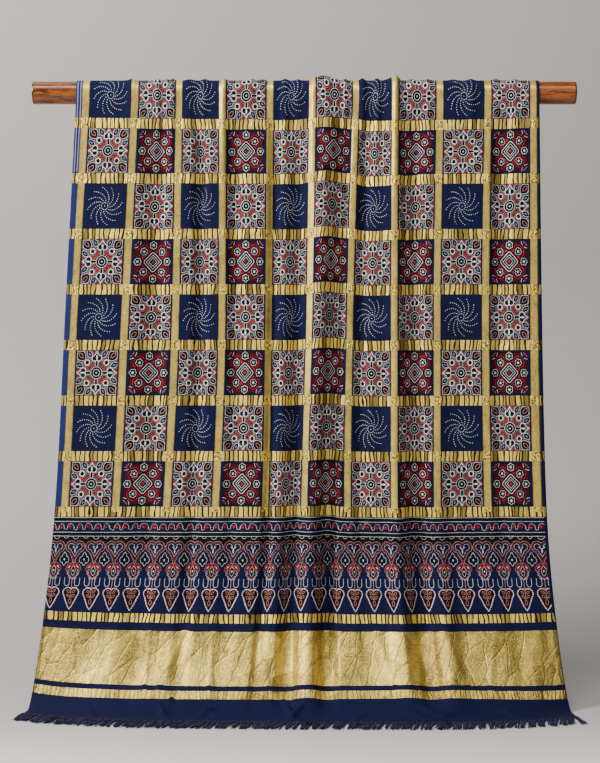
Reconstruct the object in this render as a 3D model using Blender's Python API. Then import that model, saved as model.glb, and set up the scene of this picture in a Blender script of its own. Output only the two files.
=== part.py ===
"""An ajrakh cloth with fringed ends, draped over a round wooden rod.

Metres, +Z up. The origin is the middle of the rod, on its axis. X runs along the rod, and the face looks to -Y.
Places on the cloth are flat sizes: "across" from its left edge, and "down" from the line on top of the rod,
positive down the front and negative down the back.
"""

import math
import random
from collections import namedtuple

import bmesh
import bpy
import numpy as np

ROD_RADIUS = 0.0205
ROD_LENGTH = 0.979
ROD_ROUNDING = 0.002
ROD_SIDES = 40

FLOOR = -1.100
TOUCH = 0.00045  # between pieces that meet

CLOTH_WIDTH = 1.000
SHEET = 0.0016
FRONT_LENGTH = 1.205
BACK_LENGTH = 0.923
SEAT = 0.0006  # from the rod to the sheet's inner face, at the corners of its facets
TURN_RADIUS = ROD_RADIUS + SEAT + SHEET / 2
LEAN_START = -0.800  # below this height the front leans out towards its hem
FLOOR_LIFT = 0.0001
BACK_NARROWING = 0.015  # share of the width that the back draws in by its hem
BACK_FOLDS = 0.75  # the back's folds, as a share of the front's

# How finely the side view of the cloth is worked out.
TURN_PATH_STEPS = 60
FOOT_PATH_STEPS = 400
FLOOR_RUN = 1.0  # how far ahead the path goes on over the floor, past any hem
NORMAL_STEP = 0.0005  # the flat length on either side that a direction is taken over

TURN_STEPS = 5
HANG_STEPS = 7
FOOT_STEPS = 10
BACK_STEPS = 5
NEAR_ROD = 0.075  # the first row under the turn
LEAST_COLUMN = 0.0090
WIDEST_COLUMN = 0.023

STRIP_WIDTH = 0.006
STRIP_THICKNESS = 0.0024
STRAND_LENGTH = 0.060
FRONT_STRANDS = 126
BACK_STRANDS = 99
STRANDS_IN_LOCK = 3
LOCK_CLOSING = 0.84  # how far apart a lock's strands end, as a share of their spacing at the root
LOCK_LEAN = 0.0028
LENGTH_SPREAD = 0.10
SEED = 11

# The two cross-sections of a strand past its root: how far along it each lies, its width as a share of the
# strands' spacing, and its thickness as a share of the strip's.
Section = namedtuple("Section", "place width thickness")
STRAND_SECTIONS = (Section(0.35, 0.78, 1.45), Section(1.00, 0.62, 0.90))

# The places that the eleven lengthwise stripes and the two edges take along the rod's direction,
# at the rod, half way down, above the border and at the hem.
Warp = namedtuple("Warp", "name across at_rod at_middle at_border at_hem")
WARPS = (
    Warp("left edge", 0.0000, -0.4093, -0.4290, -0.4452, -0.4904),
    Warp("stripe 0", 0.0200, -0.3914, -0.4129, -0.4282, -0.4712),
    Warp("stripe 1", 0.1167, -0.3036, -0.3215, -0.3368, -0.3783),
    Warp("stripe 2", 0.2134, -0.2247, -0.2310, -0.2454, -0.2854),
    Warp("stripe 3", 0.3101, -0.1468, -0.1477, -0.1584, -0.1925),
    Warp("stripe 4", 0.4068, -0.0617, -0.0644, -0.0697, -0.0997),
    Warp("stripe 5", 0.5035, 0.0145, 0.0091, 0.0002, -0.0068),
    Warp("stripe 6", 0.6002, 0.0925, 0.0817, 0.0772, 0.0861),
    Warp("stripe 7", 0.6969, 0.1624, 0.1606, 0.1606, 0.1790),
    Warp("stripe 8", 0.7936, 0.2430, 0.2376, 0.2376, 0.2719),
    Warp("stripe 9", 0.8903, 0.3290, 0.3245, 0.3281, 0.3647),
    Warp("stripe 10", 0.9870, 0.4106, 0.4115, 0.4168, 0.4576),
    Warp("right edge", 1.0000, 0.4213, 0.4258, 0.4330, 0.4701),
)
WARP_LEVELS = (0.050, 0.434, 0.754, FRONT_LENGTH)

# How the foot of the front runs out: how far ahead it meets the floor, and how much of its length small waves
# take up on the way.
Foot = namedtuple("Foot", "across reach taken_up")
FEET = (
    Foot(0.000, 0.055, 0.030),
    Foot(0.050, 0.082, 0.020),
    Foot(0.110, 0.104, 0.013),
    Foot(0.240, 0.138, 0.004),
    Foot(0.500, 0.152, 0.000),
    Foot(0.740, 0.166, 0.000),
    Foot(0.880, 0.140, 0.002),
    Foot(0.960, 0.102, 0.007),
    Foot(1.000, 0.078, 0.011),
)
TAKING_UP_STARTS = 0.750

# The folds that run down the cloth: where each lies at the rod and at the foot, its reach to either side,
# and how far it stands out (in, if negative) at four levels.
Fold = namedtuple("Fold", "name at_rod at_foot left right top middle border foot")
FOLDS = (
    Fold("first valley", 0.178, 0.186, 0.050, 0.018, -0.010, -0.007, -0.003, -0.003),
    Fold("second valley", 0.262, 0.268, 0.022, 0.020, -0.007, -0.005, -0.003, -0.004),
    Fold("third valley", 0.332, 0.346, 0.020, 0.026, -0.008, -0.005, -0.002, -0.001),
    Fold("stripe 4 crease", 0.415, 0.411, 0.014, 0.022, -0.005, -0.005, -0.005, -0.003),
    Fold("centre crease", 0.478, 0.480, 0.036, 0.018, -0.003, -0.007, -0.013, -0.016),
    Fold("centre ridge", 0.528, 0.516, 0.036, 0.036, 0.007, 0.009, 0.012, 0.013),
    Fold("main valley", 0.572, 0.552, 0.030, 0.026, -0.010, -0.012, -0.014, -0.016),
    Fold("sixth valley", 0.624, 0.630, 0.020, 0.022, -0.007, -0.004, -0.002, 0.000),
    Fold("right ridge", 0.698, 0.704, 0.034, 0.024, 0.005, 0.007, 0.010, 0.012),
    Fold("right valley", 0.724, 0.744, 0.018, 0.038, -0.009, -0.011, -0.012, -0.015),
    Fold("slant ridge", 0.800, 0.792, 0.030, 0.030, 0.000, 0.001, 0.005, 0.009),
    Fold("last valley", 0.916, 0.922, 0.022, 0.030, -0.007, -0.004, -0.002, -0.001),
)
FOLD_LEVELS = (0.100, 0.450, 0.830, 1.120)
FOLDS_END = (1.080, 1.185)  # the folds die out between these places, before the hem

# The gathers that stand up where the cloth turns over the rod.
Gather = namedtuple("Gather", "across height")
GATHERS = (
    Gather(0.112, 0.0020),
    Gather(0.172, 0.0028),
    Gather(0.313, 0.0022),
    Gather(0.504, 0.0026),
    Gather(0.556, 0.0034),
    Gather(0.610, 0.0026),
    Gather(0.655, 0.0030),
    Gather(0.700, 0.0034),
    Gather(0.860, 0.0018),
)
GATHER_HALF_WIDTH = 0.016
GATHERS_END = (0.060, 0.260)

INWARD_ROOM = 0.0150  # how far a valley may go in, well below the rod
INWARD_LEVELS = (0.055, 0.200)  # the room grows from none to all of it between these places


def smooth_step(value, low, high):
    """0 below low, 1 above high, and an even curve between."""
    part = min(max((value - low) / (high - low), 0.0), 1.0)
    return part * part * (3.0 - 2.0 * part)


def through(value, places, levels):
    """A smooth curve through levels at places, which doesn't overshoot them."""
    value = min(max(value, places[0]), places[-1])
    index = min(int(np.searchsorted(places, value, side="right")), len(places) - 1) - 1
    steps = np.diff(places)
    slopes = np.diff(levels) / steps
    ends = [slopes[0], *slopes, slopes[-1]]

    def tangent(at):
        before, after = ends[at], ends[at + 1]
        return 0.0 if before * after <= 0 else 2.0 * before * after / (before + after)

    part = (value - places[index]) / steps[index]
    rest = 1.0 - part
    return (
        levels[index] * rest * rest * (1.0 + 2.0 * part)
        + levels[index + 1] * part * part * (3.0 - 2.0 * part)
        + steps[index] * part * rest * (tangent(index) * rest - tangent(index + 1) * part)
    )


def column_of(rows, field):
    return [getattr(row, field) for row in rows]


def held_in(value, room):
    """value, but never below minus room, which it nears softly."""
    if value >= 0:
        return value
    return -room * (1.0 - math.exp(value / room)) if room > 0 else 0.0


def along_rod(across, down):
    """The place along X of a point of the cloth."""
    places = column_of(WARPS, "across")
    fields = ("at_rod", "at_middle", "at_border", "at_hem")
    levels = [through(across, places, column_of(WARPS, field)) for field in fields]
    place = through(abs(down), WARP_LEVELS, levels)
    if down < 0:
        place *= 1.0 - BACK_NARROWING * smooth_step(-down, 0.0, BACK_LENGTH)
    return place


def fold_height(across, down):
    """How far the folds carry the cloth out from its plain path."""
    level = abs(down)
    height = 0.0
    for fold in FOLDS:
        middle = fold.at_rod + (fold.at_foot - fold.at_rod) * smooth_step(level, 0.0, FRONT_LENGTH)
        offset = across - middle
        span = fold.left if offset < 0 else fold.right
        if abs(offset) < span:
            depths = (fold.top, fold.middle, fold.border, fold.foot)
            height += through(level, FOLD_LEVELS, depths) * (1.0 - smooth_step(abs(offset), 0.0, span))
    return height


def gather_height(across, down):
    """How far the gathers on the rod carry the cloth out."""
    fading = 1.0 - smooth_step(abs(down), *GATHERS_END)
    offsets = [(across - gather.across) / GATHER_HALF_WIDTH for gather in GATHERS]
    bumps = (row.height * math.exp(-offset * offset) for row, offset in zip(GATHERS, offsets))
    return fading * sum(bumps)


def stand_off(across, down):
    """The whole offset from the plain path, along its outward normal."""
    folds = fold_height(across, down) * (1.0 - smooth_step(down, *FOLDS_END))
    if down < 0:
        folds *= BACK_FOLDS
    room = INWARD_ROOM * smooth_step(abs(down), *INWARD_LEVELS)
    return held_in(folds, room) + gather_height(across, down)


def front_path(reach):
    """The plain side view of the front from the rod's top: flat length, distance ahead and height."""
    turn = np.linspace(0.0, math.pi / 2, TURN_PATH_STEPS)
    foot = np.linspace(0.0, math.pi / 2, FOOT_PATH_STEPS)[1:]
    bottom = FLOOR + FLOOR_LIFT + SHEET / 2
    ahead = np.concatenate(
        [TURN_RADIUS * np.sin(turn), [TURN_RADIUS], TURN_RADIUS + reach * (1.0 - np.cos(foot)), [FLOOR_RUN]]
    )
    height = np.concatenate(
        [TURN_RADIUS * np.cos(turn), [LEAN_START], LEAN_START + (bottom - LEAN_START) * np.sin(foot), [bottom]]
    )
    length = np.concatenate([[0.0], np.cumsum(np.hypot(np.diff(ahead), np.diff(height)))])
    return length, ahead, height


def back_path():
    """The same for the back, which hangs straight."""
    turn = np.linspace(0.0, math.pi / 2, TURN_PATH_STEPS)
    ahead = np.concatenate([TURN_RADIUS * np.sin(turn), [TURN_RADIUS]])
    height = np.concatenate([TURN_RADIUS * np.cos(turn), [-BACK_LENGTH]])
    length = np.concatenate([[0.0], np.cumsum(np.hypot(np.diff(ahead), np.diff(height)))])
    return length, ahead, height


def on_path(path, place, out):
    """The point of a path at a flat length, carried out by a distance along the path's normal."""
    length, ahead, height = path
    near, far = max(place - NORMAL_STEP, 0.0), place + NORMAL_STEP
    run = np.interp(far, length, ahead) - np.interp(near, length, ahead)
    rise = np.interp(far, length, height) - np.interp(near, length, height)
    size = math.hypot(run, rise)
    return (
        np.interp(place, length, ahead) - out * rise / size,
        np.interp(place, length, height) + out * run / size,
    )


def foot_value(across, field):
    return through(across, column_of(FEET, "across"), column_of(FEET, field))


def cloth_point(across, down):
    """The middle of the sheet at a flat place."""
    out = stand_off(across, down)
    if down < 0:
        ahead, height = on_path(back_path(), -down, out)
        return along_rod(across, down), ahead, height
    part = max(down - TAKING_UP_STARTS, 0.0) / (FRONT_LENGTH - TAKING_UP_STARTS)
    place = down - foot_value(across, "taken_up") * part * part
    ahead, height = on_path(front_path(foot_value(across, "reach")), place, out)
    return along_rod(across, down), -ahead, height


def column_places():
    """Where the mesh's columns lie across: on each fold and its flanks, with the wide gaps filled evenly."""
    wanted = [0.0, CLOTH_WIDTH]
    for fold in FOLDS:
        middle = (fold.at_rod + fold.at_foot) / 2
        wanted += [middle - fold.left, middle - fold.left / 2, middle, middle + fold.right / 2, middle + fold.right]
    kept = [0.0]
    for place in sorted(wanted)[1:]:
        if place - kept[-1] >= LEAST_COLUMN:
            kept.append(place)
    kept[-1] = CLOTH_WIDTH
    places = []
    for low, high in zip(kept, kept[1:]):
        steps = math.ceil((high - low) / WIDEST_COLUMN)
        places += [low + (high - low) * step / steps for step in range(steps)]
    return [*places, CLOTH_WIDTH]


def row_places():
    """Where the mesh's rows lie, from the front hem over the rod to the back hem."""
    quarter = TURN_RADIUS * math.pi / 2
    foot = np.linspace(FRONT_LENGTH, -LEAN_START, FOOT_STEPS + 1)
    hang = np.linspace(-LEAN_START, NEAR_ROD, HANG_STEPS + 1)[1:]
    front_turn = np.linspace(quarter, 0.0, TURN_STEPS + 1)
    back_turn = -np.linspace(0.0, quarter, TURN_STEPS + 1)[1:]
    back = -np.linspace(NEAR_ROD, BACK_LENGTH, BACK_STEPS + 1)
    return [float(place) for place in np.concatenate([foot, hang, front_turn, back_turn, back])]


def grid_normals(points):
    """The outward normal at each point of a grid of rows and columns."""
    down_steps = np.gradient(points, axis=0)
    across_steps = np.gradient(points, axis=1)
    normals = np.cross(across_steps, -down_steps)
    return normals / np.linalg.norm(normals, axis=2, keepdims=True)


def material(name, colour, roughness):
    made = bpy.data.materials.new(name)
    made.use_nodes = True
    shader = made.node_tree.nodes["Principled BSDF"]
    shader.inputs["Base Color"].default_value = (*colour, 1.0)
    shader.inputs["Roughness"].default_value = roughness
    shader.inputs["Metallic"].default_value = 0.0
    return made


def add_object(name, bm, finish):
    """Puts the finished mesh in the scene as one named piece with faces that point out."""
    bmesh.ops.recalc_face_normals(bm, faces=bm.faces)
    if bm.calc_volume(signed=True) < 0:
        bmesh.ops.reverse_faces(bm, faces=bm.faces)
    mesh = bpy.data.meshes.new(name)
    bm.to_mesh(mesh)
    bm.free()
    mesh.materials.append(finish)
    piece = bpy.data.objects.new(name, mesh)
    bpy.context.scene.collection.objects.link(piece)
    return piece


def build_rod():
    bm = bmesh.new()
    bmesh.ops.create_cone(
        bm, cap_ends=True, segments=ROD_SIDES, radius1=ROD_RADIUS, radius2=ROD_RADIUS, depth=ROD_LENGTH
    )
    rims = [edge for edge in bm.edges if abs(edge.verts[0].co.z - edge.verts[1].co.z) < TOUCH]
    bmesh.ops.bevel(bm, geom=rims, offset=ROD_ROUNDING, segments=2, profile=0.5, affect="EDGES")
    for vert in bm.verts:
        vert.co = vert.co.zxy
    rod = add_object("rod", bm, material("lacquered_wood", (0.36, 0.12, 0.03), 0.3))
    rod.data.shade_smooth()
    rod.data.set_sharp_from_angle(angle=math.radians(40))
    return rod


def sheet_mesh(points):
    """A closed sheet around a grid of middle points."""
    normals = grid_normals(points)
    rows, columns = points.shape[:2]
    bm = bmesh.new()
    faces = {}
    for side in (1, -1):
        grid = points + normals * (side * SHEET / 2)
        faces[side] = [[bm.verts.new(grid[row][column]) for column in range(columns)] for row in range(rows)]
    outer, inner = faces[1], faces[-1]
    for row in range(rows - 1):
        for column in range(columns - 1):
            corners = ((row, column), (row, column + 1), (row + 1, column + 1), (row + 1, column))
            bm.faces.new([outer[r][c] for r, c in corners])
            bm.faces.new([inner[r][c] for r, c in reversed(corners)])
    rim = [(0, column) for column in range(columns - 1)]
    rim += [(row, columns - 1) for row in range(rows - 1)]
    rim += [(rows - 1, column) for column in range(columns - 1, 0, -1)]
    rim += [(row, 0) for row in range(rows - 1, 0, -1)]
    for (r0, c0), (r1, c1) in zip(rim, rim[1:] + rim[:1]):
        bm.faces.new([outer[r0][c0], inner[r0][c0], inner[r1][c1], outer[r1][c1]])
    return bm


def build_cloth():
    """The cloth, and the middle lines of its two hems, which the fringes follow."""
    places = column_places()
    points = np.array([[cloth_point(across, down) for across in places] for down in row_places()])
    cloth = add_object("cloth", sheet_mesh(points), material("dyed_cloth", (0.03, 0.05, 0.2), 0.7))
    cloth.data.shade_smooth()
    return points[0], points[-1]


def evenly(line, count):
    """count + 1 points at even distances along X on a line through given points."""
    wanted = np.linspace(line[0][0], line[-1][0], count + 1)
    return np.array([[x, *(np.interp(x, line[:, 0], line[:, axis]) for axis in (1, 2))] for x in wanted])


def build_fringe(name, roots, reach, rise, centred, finish):
    """Strands on a strip. roots run along the strip's upper line, reach and rise are unit directions, and
    centred is the share of each thickness that lies below the roots."""
    draw = random.Random(f"{SEED} {name}")
    bm = bmesh.new()
    count = len(roots) - 1

    def edge(point, thickness):
        low = point - rise * (centred * thickness)
        return bm.verts.new(low), bm.verts.new(low + rise * thickness)

    back = [edge(point, STRIP_THICKNESS) for point in roots]
    front = [edge(point + reach * STRIP_WIDTH, STRIP_THICKNESS) for point in roots]
    for start in range(count):
        (b0, b1), (c0, c1) = back[start], back[start + 1]
        (f0, f1), (g0, g1) = front[start], front[start + 1]
        bm.faces.new([b0, b1, c1, c0])
        bm.faces.new([b1, f1, g1, c1])
        bm.faces.new([b0, c0, g0, f0])
    for (b0, b1), (f0, f1) in ((back[0], front[0]), (back[-1], front[-1])):
        bm.faces.new([b0, f0, f1, b1])

    side = roots[-1] - roots[0]
    side /= np.linalg.norm(side)
    pitch = np.linalg.norm(roots[-1] - roots[0]) / count
    for start in range(count):
        if start % STRANDS_IN_LOCK == 0:
            lean = draw.uniform(-LOCK_LEAN, LOCK_LEAN)
            lock_length = STRAND_LENGTH * draw.uniform(1.0 - LENGTH_SPREAD, 1.0)
        from_middle = (start % STRANDS_IN_LOCK) - (STRANDS_IN_LOCK - 1) / 2
        length = lock_length * draw.uniform(1.0 - LENGTH_SPREAD / 2, 1.0) - STRIP_WIDTH
        root = (roots[start] + roots[start + 1]) / 2 + reach * STRIP_WIDTH
        ring = [*front[start], *reversed(front[start + 1])]
        for section in STRAND_SECTIONS:
            shift = (lean - from_middle * pitch * (1.0 - LOCK_CLOSING)) * section.place
            middle = root + reach * (length * section.place) + side * shift
            half = side * (section.width * pitch / 2)
            left = edge(middle - half, section.thickness * STRIP_THICKNESS)
            right = edge(middle + half, section.thickness * STRIP_THICKNESS)
            following = [*left, *reversed(right)]
            for near, far in ((0, 1), (1, 2), (2, 3), (3, 0)):
                bm.faces.new([ring[near], ring[far], following[far], following[near]])
            ring = following
        bm.faces.new(ring)
    add_object(name, bm, finish)


def build_fringes(front_hem, back_hem):
    yarn = material("navy_yarn", (0.015, 0.025, 0.12), 0.8)
    ahead = np.array([0.0, -1.0, 0.0])
    up = np.array([0.0, 0.0, 1.0])
    front = evenly(front_hem, FRONT_STRANDS) + ahead * TOUCH
    front[:, 2] = FLOOR
    build_fringe("fringe_front", front, ahead, up, 0.0, yarn)
    back = evenly(back_hem, BACK_STRANDS) - up * TOUCH
    build_fringe("fringe_back", back, -up, -ahead, 0.5, yarn)


def main():
    for old in list(bpy.data.objects):
        bpy.data.objects.remove(old, do_unlink=True)
    build_rod()
    build_fringes(*build_cloth())


main()
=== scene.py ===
"""Dresses the ajrakh cloth on its rod: the printed cloth with zari bands, its two fringes, the lacquered rod
and the studio around them.

Metres, +Z up. The origin is the middle of the rod, on its axis. X runs along the rod, and the face looks to -Y.
Places on the cloth are flat sizes, as in the CAD part: "across" from its left edge, and "down" from the line on
top of the rod, positive down the front and negative down the back. The cloth's UV map holds the same two numbers.
"""

import math
from collections import namedtuple

import bmesh
import bpy
import numpy as np
from mathutils import Matrix


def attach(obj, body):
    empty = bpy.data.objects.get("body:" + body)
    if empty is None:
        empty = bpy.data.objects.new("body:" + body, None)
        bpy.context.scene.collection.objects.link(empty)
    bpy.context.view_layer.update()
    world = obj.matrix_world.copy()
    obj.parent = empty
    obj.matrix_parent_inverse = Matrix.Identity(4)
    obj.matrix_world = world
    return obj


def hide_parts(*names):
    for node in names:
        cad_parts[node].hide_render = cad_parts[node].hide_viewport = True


bl_info = {
    "name": "Ajrakh Cloth on a Rod",
    "version": (1, 0, 0),
    "blender": (4, 5, 0),
    "location": "3D View > Sidebar > Cloth",
    "description": "Builds a block-printed cloth with gold bands and fringed hems, draped over a wooden rod",
    "category": "Object",
}

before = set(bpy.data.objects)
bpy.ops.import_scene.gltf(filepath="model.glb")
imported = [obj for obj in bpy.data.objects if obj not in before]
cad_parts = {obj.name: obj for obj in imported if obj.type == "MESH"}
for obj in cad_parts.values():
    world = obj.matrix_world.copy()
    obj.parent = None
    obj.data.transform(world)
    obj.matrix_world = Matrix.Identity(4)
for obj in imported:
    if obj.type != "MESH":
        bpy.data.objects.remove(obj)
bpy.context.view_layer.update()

FLOOR = -1.100
CLOTH_WIDTH = 1.000
CAD_SHEET = 0.0016
FRONT_LENGTH = 1.205
BACK_LENGTH = 0.923
TURN_RADIUS = 0.0219  # from the rod's axis to the middle of the sheet
ROD_LENGTH = 0.979
LEAN_START = -0.800  # below this height the front leans out towards its hem
FLOOR_LIFT = 0.0001
BACK_NARROWING = 0.015
BACK_FOLDS = 0.75

TURN_PATH_STEPS = 60
FOOT_PATH_STEPS = 400
FLOOR_RUN = 1.0
NORMAL_STEP = 0.0005

# The places that the eleven lengthwise stripes and the two edges take along the rod's direction,
# at the rod, half way down, above the border and at the hem.
Warp = namedtuple("Warp", "across at_rod at_middle at_border at_hem")
WARPS = (
    Warp(0.0000, -0.4093, -0.4290, -0.4452, -0.4904),
    Warp(0.0200, -0.3914, -0.4129, -0.4282, -0.4712),
    Warp(0.1167, -0.3036, -0.3215, -0.3368, -0.3783),
    Warp(0.2134, -0.2247, -0.2310, -0.2454, -0.2854),
    Warp(0.3101, -0.1468, -0.1477, -0.1584, -0.1925),
    Warp(0.4068, -0.0617, -0.0644, -0.0697, -0.0997),
    Warp(0.5035, 0.0145, 0.0091, 0.0002, -0.0068),
    Warp(0.6002, 0.0925, 0.0817, 0.0772, 0.0861),
    Warp(0.6969, 0.1624, 0.1606, 0.1606, 0.1790),
    Warp(0.7936, 0.2430, 0.2376, 0.2376, 0.2719),
    Warp(0.8903, 0.3290, 0.3245, 0.3281, 0.3647),
    Warp(0.9870, 0.4106, 0.4115, 0.4168, 0.4576),
    Warp(1.0000, 0.4213, 0.4258, 0.4330, 0.4701),
)
WARP_LEVELS = (0.050, 0.434, 0.754, FRONT_LENGTH)

# How the foot of the front runs out: how far ahead it meets the floor, and how much of its length small waves
# take up on the way.
Foot = namedtuple("Foot", "across reach taken_up")
FEET = (
    Foot(0.000, 0.055, 0.030),
    Foot(0.050, 0.082, 0.020),
    Foot(0.110, 0.104, 0.013),
    Foot(0.240, 0.138, 0.004),
    Foot(0.500, 0.152, 0.000),
    Foot(0.740, 0.166, 0.000),
    Foot(0.880, 0.140, 0.002),
    Foot(0.960, 0.102, 0.007),
    Foot(1.000, 0.078, 0.011),
)
TAKING_UP_STARTS = 0.750

# The folds that run down the cloth: where each lies at the rod and at the foot, its reach to either side,
# and how far it stands out (in, if negative) at four levels.
Fold = namedtuple("Fold", "at_rod at_foot left right top middle border foot")
FOLDS = (
    Fold(0.178, 0.186, 0.050, 0.018, -0.010, -0.007, -0.003, -0.003),
    Fold(0.262, 0.268, 0.022, 0.020, -0.007, -0.005, -0.003, -0.004),
    Fold(0.332, 0.346, 0.020, 0.026, -0.008, -0.005, -0.002, -0.001),
    Fold(0.415, 0.411, 0.014, 0.022, -0.005, -0.005, -0.005, -0.003),
    Fold(0.478, 0.480, 0.036, 0.018, -0.003, -0.007, -0.013, -0.016),
    Fold(0.528, 0.516, 0.036, 0.036, 0.007, 0.009, 0.012, 0.013),
    Fold(0.572, 0.552, 0.030, 0.026, -0.010, -0.012, -0.014, -0.016),
    Fold(0.624, 0.630, 0.020, 0.022, -0.007, -0.004, -0.002, 0.000),
    Fold(0.698, 0.704, 0.034, 0.024, 0.005, 0.007, 0.010, 0.012),
    Fold(0.724, 0.744, 0.018, 0.038, -0.009, -0.011, -0.012, -0.015),
    Fold(0.800, 0.792, 0.030, 0.030, 0.000, 0.001, 0.005, 0.009),
    Fold(0.916, 0.922, 0.022, 0.030, -0.007, -0.004, -0.002, -0.001),
)
FOLD_LEVELS = (0.100, 0.450, 0.830, 1.120)
FOLDS_END = (1.080, 1.185)

# The pleats that stand up where the cloth turns over the rod, and how far down each reaches.
Pleat = namedtuple("Pleat", "across height half_width reach")
PLEATS = (
    Pleat(0.110, 0.0018, 0.009, 0.20),
    Pleat(0.165, 0.0022, 0.006, 0.26),
    Pleat(0.185, 0.0016, 0.005, 0.16),
    Pleat(0.198, 0.0020, 0.005, 0.22),
    Pleat(0.236, 0.0012, 0.010, 0.14),
    Pleat(0.270, 0.0015, 0.007, 0.18),
    Pleat(0.312, 0.0026, 0.006, 0.24),
    Pleat(0.369, 0.0014, 0.009, 0.16),
    Pleat(0.392, 0.0012, 0.006, 0.12),
    Pleat(0.441, 0.0016, 0.007, 0.20),
    Pleat(0.470, 0.0012, 0.006, 0.14),
    Pleat(0.505, 0.0024, 0.006, 0.28),
    Pleat(0.554, 0.0022, 0.007, 0.26),
    Pleat(0.576, 0.0018, 0.005, 0.18),
    Pleat(0.616, 0.0024, 0.006, 0.24),
    Pleat(0.654, 0.0022, 0.006, 0.20),
    Pleat(0.698, 0.0028, 0.006, 0.30),
    Pleat(0.736, 0.0012, 0.009, 0.14),
    Pleat(0.768, 0.0014, 0.008, 0.18),
    Pleat(0.822, 0.0010, 0.008, 0.12),
    Pleat(0.857, 0.0016, 0.007, 0.18),
    Pleat(0.908, 0.0014, 0.007, 0.20),
    Pleat(0.948, 0.0012, 0.008, 0.14),
)

PLEAT_HEIGHT = 1.8

# How far the cloth is drawn up over the rod at places across it, at five levels down the front.
Draw = namedtuple("Draw", "across top second middle border foot")
DRAWS = (
    Draw(0.000, 0.0000, 0.0000, 0.0000, 0.0000, 0.0000),
    Draw(0.200, -0.0020, 0.0000, 0.0000, 0.0000, 0.0000),
    Draw(0.360, -0.0030, -0.0005, 0.0005, 0.0000, -0.0010),
    Draw(0.455, -0.0045, -0.0015, -0.0005, 0.0000, 0.0000),
    Draw(0.500, -0.0010, 0.0015, 0.0015, 0.0020, 0.0020),
    Draw(0.552, 0.0000, 0.0045, 0.0050, 0.0020, 0.0015),
    Draw(0.600, -0.0030, -0.0010, 0.0010, -0.0005, 0.0000),
    Draw(0.648, -0.0060, -0.0055, -0.0022, -0.0010, 0.0000),
    Draw(0.745, -0.0050, -0.0020, 0.0000, -0.0010, 0.0000),
    Draw(0.880, -0.0030, -0.0005, 0.0000, 0.0000, 0.0000),
    Draw(1.000, 0.0000, 0.0000, 0.0000, 0.0000, 0.0000),
)
DRAW_LEVELS = (0.090, 0.190, 0.400, 0.800, 1.060)
DRAWS_END = (1.080, 1.190)
FINE_HEM_STARTS = 1.100

# The small creases at the foot: where each lies, how long and wide it is, how far it stands up, and how it slants.
Crease = namedtuple("Crease", "across down length width height slant")
CREASES = (
    Crease(0.251, 1.165, 0.022, 0.005, 0.0050, 0.5),
    Crease(0.263, 1.128, 0.012, 0.004, 0.0030, -0.4),
    Crease(0.329, 1.165, 0.020, 0.006, 0.0045, -0.7),
    Crease(0.345, 1.172, 0.016, 0.005, 0.0035, 0.9),
    Crease(0.480, 1.160, 0.026, 0.005, 0.0055, 0.35),
    Crease(0.496, 1.165, 0.022, 0.005, 0.0055, -0.5),
    Crease(0.520, 1.172, 0.018, 0.006, 0.0035, 1.2),
    Crease(0.700, 1.168, 0.034, 0.006, 0.0050, 1.1),
    Crease(0.735, 1.162, 0.030, 0.005, 0.0045, 0.9),
    Crease(0.770, 1.172, 0.022, 0.005, 0.0035, -1.0),
    Crease(0.120, 1.170, 0.020, 0.006, 0.0035, 0.6),
    Crease(0.610, 1.175, 0.016, 0.005, 0.0030, -0.8),
    Crease(0.880, 1.165, 0.020, 0.005, 0.0030, 0.7),
    Crease(0.207, 1.060, 0.050, 0.004, 0.0028, 0.05),
    Crease(0.255, 1.050, 0.050, 0.006, 0.0040, -0.33),
    Crease(0.326, 1.055, 0.050, 0.004, 0.0028, 0.03),
    Crease(0.420, 1.045, 0.040, 0.006, 0.0030, 0.30),
    Crease(0.665, 1.050, 0.045, 0.006, 0.0036, 0.28),
    Crease(0.800, 1.050, 0.045, 0.006, 0.0036, 0.32),
    Crease(0.870, 1.060, 0.040, 0.005, 0.0026, -0.25),
)

CREASE_HEIGHT = 1.6
INWARD_DEPTH = 2.7  # the soft sheet's folds that lie in, as a share of the solid's
OUTWARD_DEPTH = 1.3  # and those that stand out
FOLD_LIFT = 0.35  # how much of a fold's rise on the leaning foot is kept, so that the bands stay level
INWARD_ROOM = 0.0240
INWARD_LEVELS = (0.055, 0.200)
FOLDS_HANG = 0.100  # past this length the folds hang clear of the rod

# The woven and printed layout, in flat metres.
STRIPE_START = 0.020
STRIPE_PITCH = 0.0967
STRIPE_WIDTH = 0.0140
BAND_START = 0.0914
BAND_PITCH = 0.0996
BAND_WIDTH = 0.0178
LAST_BAND = 0.7886
THIN_BANDS = ((0.9797, 0.0080), (1.1210, 0.0085))  # the middle and half the width of each
LAST_THIN_BAND = 1.09  # the second one lies past this, and is crumpled more than pleated
WIDE_BAND = 1.0525
WIDE_BAND_WIDTH = 0.100
STRIPE_CORE = 0.0055  # past this from a stripe's middle, its threads are duller
GOLD_RIM = 0.0075
SELVEDGE_LINES = (0.0040, 0.0098)
SELVEDGE_LINES_END = 0.18
RIGHT_EDGE = 0.9955
SQUARE_HALF_WIDTH = 0.0395
SQUARE_HALF_HEIGHT = 0.0410


def linear(red, green, blue):
    """A colour read from a screen, in the linear numbers that shaders take."""
    return tuple(
        part / 255 / 12.92 if part <= 10 else ((part / 255 + 0.055) / 1.055) ** 2.4 for part in (red, green, blue)
    )


# The shape of the cloth


def soft_step(values, low, high):
    """0 below low, 1 above high, and an even curve between."""
    part = np.clip((values - low) / (high - low), 0.0, 1.0)
    return part * part * (3.0 - 2.0 * part)


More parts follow.
